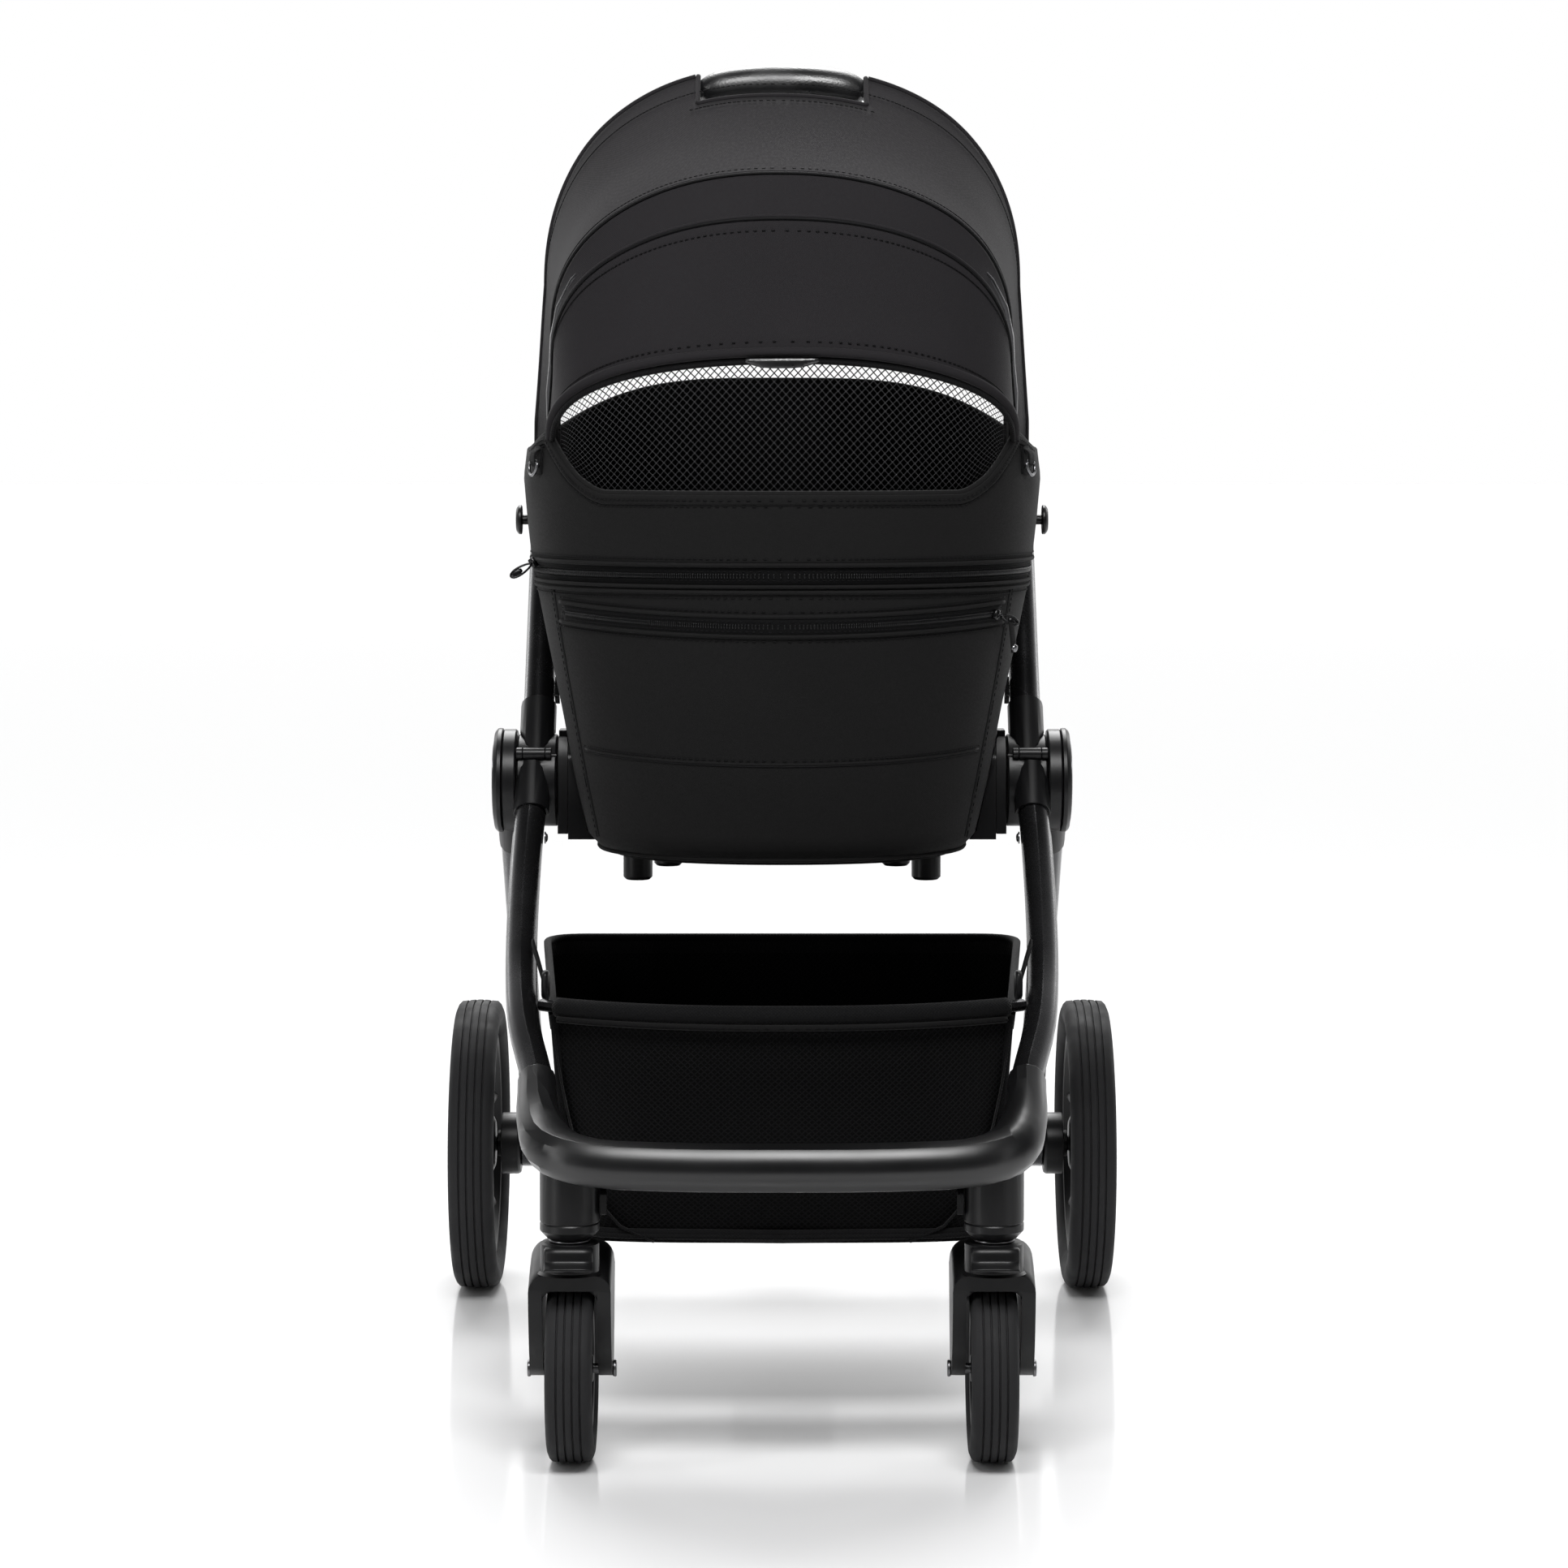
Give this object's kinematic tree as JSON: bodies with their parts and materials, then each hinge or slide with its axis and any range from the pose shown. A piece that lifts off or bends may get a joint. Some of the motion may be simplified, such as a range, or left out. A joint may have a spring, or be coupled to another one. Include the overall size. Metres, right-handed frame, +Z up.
{
  "type": "pet stroller",
  "caption": "Folding pet stroller: a fabric pet carrier with an arched hood clips between the hubs of a wheeled frame with front casters, large rear wheels and a mesh basket.",
  "frame": {"origin": "on the ground under the middle of the stroller's length and width", "axes": "+Z up; the front faces -Y and the handle is towards +Y; +X is the right side of someone who looks at its front"},
  "size_m": [0.5904, 0.8494, 1.0731],
  "materials": {
    "tyre": "matt rubber with fine grooves",
    "rim": "moulded, matt black",
    "frame": "satin black anodised",
    "plastic": "fine-grained black",
    "axle": "bright",
    "cloth": "woven charcoal polyester",
    "lining": "soft charcoal plush",
    "net": "open black mesh",
    "grip": "smooth black synthetic leather with stitching"
  },
  "bodies": {
    "front_frame": {"front_leg_right": "frame", "front_leg_left": "frame", "front_bar": "plastic", "swivel_housing_right": "plastic", "swivel_housing_left": "plastic", "hub_body_right": "plastic", "hub_body_left": "plastic", "basket_rail": "frame", "basket": "net"},
    "rear_frame": {"rear_knuckle_right": "plastic", "rear_knuckle_left": "plastic", "rear_leg_right": "frame", "rear_leg_left": "frame", "hub_cap_right": "plastic", "hub_cap_left": "plastic", "rear_axle_tube": "frame", "brake_housing_right": "plastic", "brake_housing_left": "plastic"},
    "brake_pedal": {"brake_pedal": "plastic"},
    "push_bar": {"push_sleeve_right": "plastic", "push_sleeve_left": "plastic", "push_tube_right": "frame", "push_tube_left": "frame"},
    "handle": {"handle_frame": "frame", "handle_grip": "grip"},
    "height_button": {"height_button": "plastic"},
    "adaptors": {"adaptor_right": "plastic", "adaptor_left": "plastic"},
    "carrier": {"carrier_tub": "cloth", "carrier_base": "plastic", "carrier_pad": "lining", "carrier_bracket_right": "plastic", "carrier_bracket_left": "plastic", "window_mesh": "net", "hood_pivot_right": "plastic", "hood_pivot_left": "plastic", "hood_front": "cloth"},
    "hood_bow": {"hood_bow": "frame", "hood_top": "cloth"},
    "carry_hoop": {"carry_handle": "plastic", "carry_grip": "grip"},
    "swivel_lock_right": {"swivel_lock_right": "plastic"},
    "caster_right": {"caster_fork_right": "plastic", "front_axle_right": "axle"},
    "front_wheel_right": {"front_tyre_right": "tyre", "front_rim_right": "rim"},
    "rear_wheel_right": {"rear_tyre_right": "tyre", "rear_rim_right": "rim"},
    "fold_latch_right": {"fold_latch_right": "plastic"},
    "release_button_right": {"release_button_right": "plastic"},
    "swivel_lock_left": {"swivel_lock_left": "plastic"},
    "caster_left": {"caster_fork_left": "plastic", "front_axle_left": "axle"},
    "front_wheel_left": {"front_tyre_left": "tyre", "front_rim_left": "rim"},
    "rear_wheel_left": {"rear_tyre_left": "tyre", "rear_rim_left": "rim"},
    "fold_latch_left": {"fold_latch_left": "plastic"},
    "release_button_left": {"release_button_left": "plastic"}
  },
  "joints": [
    {"name": "frame_fold", "type": "hinge", "parent": "front_frame", "child": "push_bar", "pos_m": [0, -0.08628, 0.51844], "axis": [1, 0, 0], "range_deg": [0, 150]},
    {"name": "rear_leg_fold", "type": "hinge", "parent": "front_frame", "child": "rear_frame", "pos_m": [0, -0.055, 0.494], "axis": [1, 0, 0], "range_deg": [-60, 0]},
    {"name": "brake_press", "type": "hinge", "parent": "rear_frame", "child": "brake_pedal", "pos_m": [0, 0.295, 0.13], "axis": [1, 0, 0], "range_deg": [-18, 0]},
    {"name": "handle_extend", "type": "slide", "parent": "push_bar", "child": "handle", "axis": [0, 0.6157, 0.788], "range_m": [0, 0.08]},
    {"name": "height_press", "type": "slide", "parent": "handle", "child": "height_button", "axis": [0, 0, 1], "range_m": [0, 0.0025], "stiffness_N_per_m": 300, "springref_m": -0.002},
    {"name": "carrier_dock_lift", "type": "slide", "parent": "front_frame", "child": "adaptors", "axis": [0, 0, 1], "range_m": [0, 0.3]},
    {"name": "carrier_lift_off", "type": "slide", "parent": "adaptors", "child": "carrier", "axis": [0, -0.8944, 0.4472], "range_m": [0, 1.3355]},
    {"name": "hood_fold", "type": "hinge", "parent": "carrier", "child": "hood_bow", "pos_m": [0, -0.07, 0.709], "axis": [1, 0, 0], "range_deg": [0, 18], "deforming": ["hood_front"]},
    {"name": "carry_hoop_fold", "type": "hinge", "parent": "hood_bow", "child": "carry_hoop", "pos_m": [0, -0.07, 0.709], "axis": [1, 0, 0], "range_deg": [0, 9], "deforming": ["hood_top"]},
    {"name": "caster_swivel_right", "type": "hinge", "parent": "front_frame", "child": "caster_right", "pos_m": [0.16, -0.375, 0.2], "axis": [0, 0, 1], "continuous": true},
    {"name": "front_wheel_spin_right", "type": "hinge", "parent": "caster_right", "child": "front_wheel_right", "pos_m": [0.16, -0.345, 0.071], "axis": [1, 0, 0], "continuous": true},
    {"name": "rear_wheel_spin_right", "type": "hinge", "parent": "rear_frame", "child": "rear_wheel_right", "pos_m": [0.275, 0.295, 0.13], "axis": [1, 0, 0], "continuous": true},
    {"name": "swivel_lock_slide_right", "type": "slide", "parent": "front_frame", "child": "swivel_lock_right", "axis": [0, 0, -1], "range_m": [0, 0.008]},
    {"name": "fold_latch_slide_right", "type": "slide", "parent": "push_bar", "child": "fold_latch_right", "axis": [0, 0.6157, 0.788], "range_m": [0, 0.006], "stiffness_N_per_m": 300, "springref_m": -0.002},
    {"name": "release_press_right", "type": "slide", "parent": "adaptors", "child": "release_button_right", "axis": [0, 0, -1], "range_m": [0, 0.004], "stiffness_N_per_m": 300, "springref_m": -0.002},
    {"name": "caster_swivel_left", "type": "hinge", "parent": "front_frame", "child": "caster_left", "pos_m": [-0.16, -0.375, 0.2], "axis": [0, 0, 1], "continuous": true},
    {"name": "front_wheel_spin_left", "type": "hinge", "parent": "caster_left", "child": "front_wheel_left", "pos_m": [-0.16, -0.345, 0.071], "axis": [1, 0, 0], "continuous": true},
    {"name": "rear_wheel_spin_left", "type": "hinge", "parent": "rear_frame", "child": "rear_wheel_left", "pos_m": [-0.275, 0.295, 0.13], "axis": [1, 0, 0], "continuous": true},
    {"name": "swivel_lock_slide_left", "type": "slide", "parent": "front_frame", "child": "swivel_lock_left", "axis": [0, 0, -1], "range_m": [0, 0.008]},
    {"name": "fold_latch_slide_left", "type": "slide", "parent": "push_bar", "child": "fold_latch_left", "axis": [0, 0.6157, 0.788], "range_m": [0, 0.006], "stiffness_N_per_m": 300, "springref_m": -0.002},
    {"name": "release_press_left", "type": "slide", "parent": "adaptors", "child": "release_button_left", "axis": [0, 0, -1], "range_m": [0, 0.004], "stiffness_N_per_m": 300, "springref_m": -0.002}
  ],
  "couplings": [
    {"joint": "rear_leg_fold", "follows": "frame_fold", "ratio": -0.4},
    {"joint": "carrier_lift_off", "follows": "frame_fold", "m_per_rad": 0.50993},
    {"joint": "carry_hoop_fold", "follows": "hood_fold", "ratio": 0.5}
  ]
}
